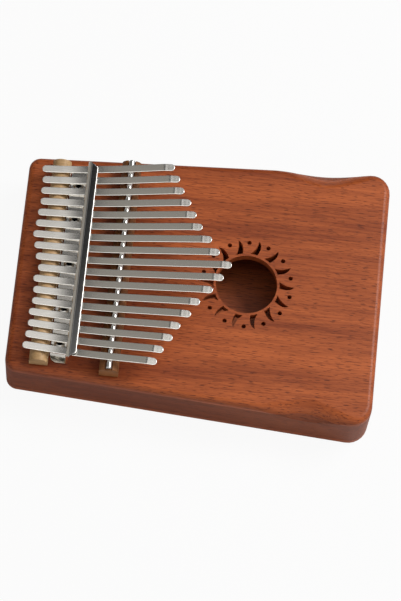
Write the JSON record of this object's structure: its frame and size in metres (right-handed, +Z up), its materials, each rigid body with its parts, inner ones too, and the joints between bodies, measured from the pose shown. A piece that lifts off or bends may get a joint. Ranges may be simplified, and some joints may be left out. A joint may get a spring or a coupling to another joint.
{
  "type": "kalimba",
  "caption": "Hollow wooden box thumb piano with tapered body, round sound hole in a cut sun, and a fan of steel tines clamped over two wooden bridges.",
  "frame": {"origin": "middle of the box's underside", "axes": "+X along the box towards the sound-hole end, where the tines point; +Y across the box; +Z up out of the top board"},
  "size_m": [0.185, 0.1354, 0.0577],
  "materials": {
    "board_wood": "satin lacquered mahogany",
    "rail_wood": "satin lacquered mahogany, darker",
    "block_wood": "bare hardwood",
    "pale_bar_wood": "sanded pale hardwood",
    "tan_bar_wood": "sanded tan hardwood",
    "chrome": "polished",
    "tine_steel": "satin nickel plate",
    "screw_steel": "polished, dark"
  },
  "bodies": {
    "box": {"top_board": "board_wood", "side_rail_far": "rail_wood", "side_rail_near": "rail_wood", "end_rail_tail": "rail_wood", "end_rail_hole_end": "rail_wood", "back_board": "rail_wood", "anchor_block": "block_wood", "back_bridge": "pale_bar_wood", "front_bridge": "tan_bar_wood", "saddle_rod": "chrome", "pressure_bracket": "chrome", "bracket_screw_1": "screw_steel", "bracket_screw_2": "screw_steel", "bracket_screw_3": "screw_steel", "bracket_screw_4": "screw_steel", "bracket_screw_5": "screw_steel"},
    "key_01": {"tine_01": "tine_steel"},
    "key_02": {"tine_02": "tine_steel"},
    "key_03": {"tine_03": "tine_steel"},
    "key_04": {"tine_04": "tine_steel"},
    "key_05": {"tine_05": "tine_steel"},
    "key_06": {"tine_06": "tine_steel"},
    "key_07": {"tine_07": "tine_steel"},
    "key_08": {"tine_08": "tine_steel"},
    "key_09": {"tine_09": "tine_steel"},
    "key_10": {"tine_10": "tine_steel"},
    "key_11": {"tine_11": "tine_steel"},
    "key_12": {"tine_12": "tine_steel"},
    "key_13": {"tine_13": "tine_steel"},
    "key_14": {"tine_14": "tine_steel"},
    "key_15": {"tine_15": "tine_steel"},
    "key_16": {"tine_16": "tine_steel"},
    "key_17": {"tine_17": "tine_steel"}
  },
  "joints": [
    {"name": "pluck_01", "type": "hinge", "parent": "box", "child": "key_01", "pos_m": [-0.0402, 0.05057, 0.0439], "axis": [0, 1, 0], "range_deg": [-0.5, 1.5], "stiffness_Nm_per_rad": 13},
    {"name": "pluck_02", "type": "hinge", "parent": "box", "child": "key_02", "pos_m": [-0.0402, 0.04425, 0.0439], "axis": [0, 1, 0], "range_deg": [-0.5, 1.5], "stiffness_Nm_per_rad": 11.3},
    {"name": "pluck_03", "type": "hinge", "parent": "box", "child": "key_03", "pos_m": [-0.0402, 0.03792, 0.0439], "axis": [0, 1, 0], "range_deg": [-0.5, 1.5], "stiffness_Nm_per_rad": 10.2},
    {"name": "pluck_04", "type": "hinge", "parent": "box", "child": "key_04", "pos_m": [-0.0402, 0.0316, 0.0439], "axis": [0, 1, 0], "range_deg": [-0.5, 1.5], "stiffness_Nm_per_rad": 8.9},
    {"name": "pluck_05", "type": "hinge", "parent": "box", "child": "key_05", "pos_m": [-0.0402, 0.02528, 0.0439], "axis": [0, 1, 0], "range_deg": [-0.5, 1.5], "stiffness_Nm_per_rad": 8.1},
    {"name": "pluck_06", "type": "hinge", "parent": "box", "child": "key_06", "pos_m": [-0.0402, 0.01896, 0.0439], "axis": [0, 1, 0], "range_deg": [-0.5, 1.5], "stiffness_Nm_per_rad": 7.3},
    {"name": "pluck_07", "type": "hinge", "parent": "box", "child": "key_07", "pos_m": [-0.0402, 0.01264, 0.0439], "axis": [0, 1, 0], "range_deg": [-0.5, 1.5], "stiffness_Nm_per_rad": 6.4},
    {"name": "pluck_08", "type": "hinge", "parent": "box", "child": "key_08", "pos_m": [-0.0402, 0.00632, 0.0439], "axis": [0, 1, 0], "range_deg": [-0.5, 1.5], "stiffness_Nm_per_rad": 5.8},
    {"name": "pluck_09", "type": "hinge", "parent": "box", "child": "key_09", "pos_m": [-0.0402, 0, 0.0439], "axis": [0, 1, 0], "range_deg": [-0.5, 1.5], "stiffness_Nm_per_rad": 5.1},
    {"name": "pluck_10", "type": "hinge", "parent": "box", "child": "key_10", "pos_m": [-0.0402, -0.00632, 0.0439], "axis": [0, 1, 0], "range_deg": [-0.5, 1.5], "stiffness_Nm_per_rad": 5.5},
    {"name": "pluck_11", "type": "hinge", "parent": "box", "child": "key_11", "pos_m": [-0.0402, -0.01264, 0.0439], "axis": [0, 1, 0], "range_deg": [-0.5, 1.5], "stiffness_Nm_per_rad": 6},
    {"name": "pluck_12", "type": "hinge", "parent": "box", "child": "key_12", "pos_m": [-0.0402, -0.01896, 0.0439], "axis": [0, 1, 0], "range_deg": [-0.5, 1.5], "stiffness_Nm_per_rad": 6.9},
    {"name": "pluck_13", "type": "hinge", "parent": "box", "child": "key_13", "pos_m": [-0.0402, -0.02528, 0.0439], "axis": [0, 1, 0], "range_deg": [-0.5, 1.5], "stiffness_Nm_per_rad": 7.5},
    {"name": "pluck_14", "type": "hinge", "parent": "box", "child": "key_14", "pos_m": [-0.0402, -0.0316, 0.0439], "axis": [0, 1, 0], "range_deg": [-0.5, 1.5], "stiffness_Nm_per_rad": 8.6},
    {"name": "pluck_15", "type": "hinge", "parent": "box", "child": "key_15", "pos_m": [-0.0402, -0.03792, 0.0439], "axis": [0, 1, 0], "range_deg": [-0.5, 1.5], "stiffness_Nm_per_rad": 9.5},
    {"name": "pluck_16", "type": "hinge", "parent": "box", "child": "key_16", "pos_m": [-0.0402, -0.04425, 0.0439], "axis": [0, 1, 0], "range_deg": [-0.5, 1.5], "stiffness_Nm_per_rad": 10.9},
    {"name": "pluck_17", "type": "hinge", "parent": "box", "child": "key_17", "pos_m": [-0.0402, -0.05057, 0.0439], "axis": [0, 1, 0], "range_deg": [-0.5, 1.5], "stiffness_Nm_per_rad": 12.1}
  ]
}
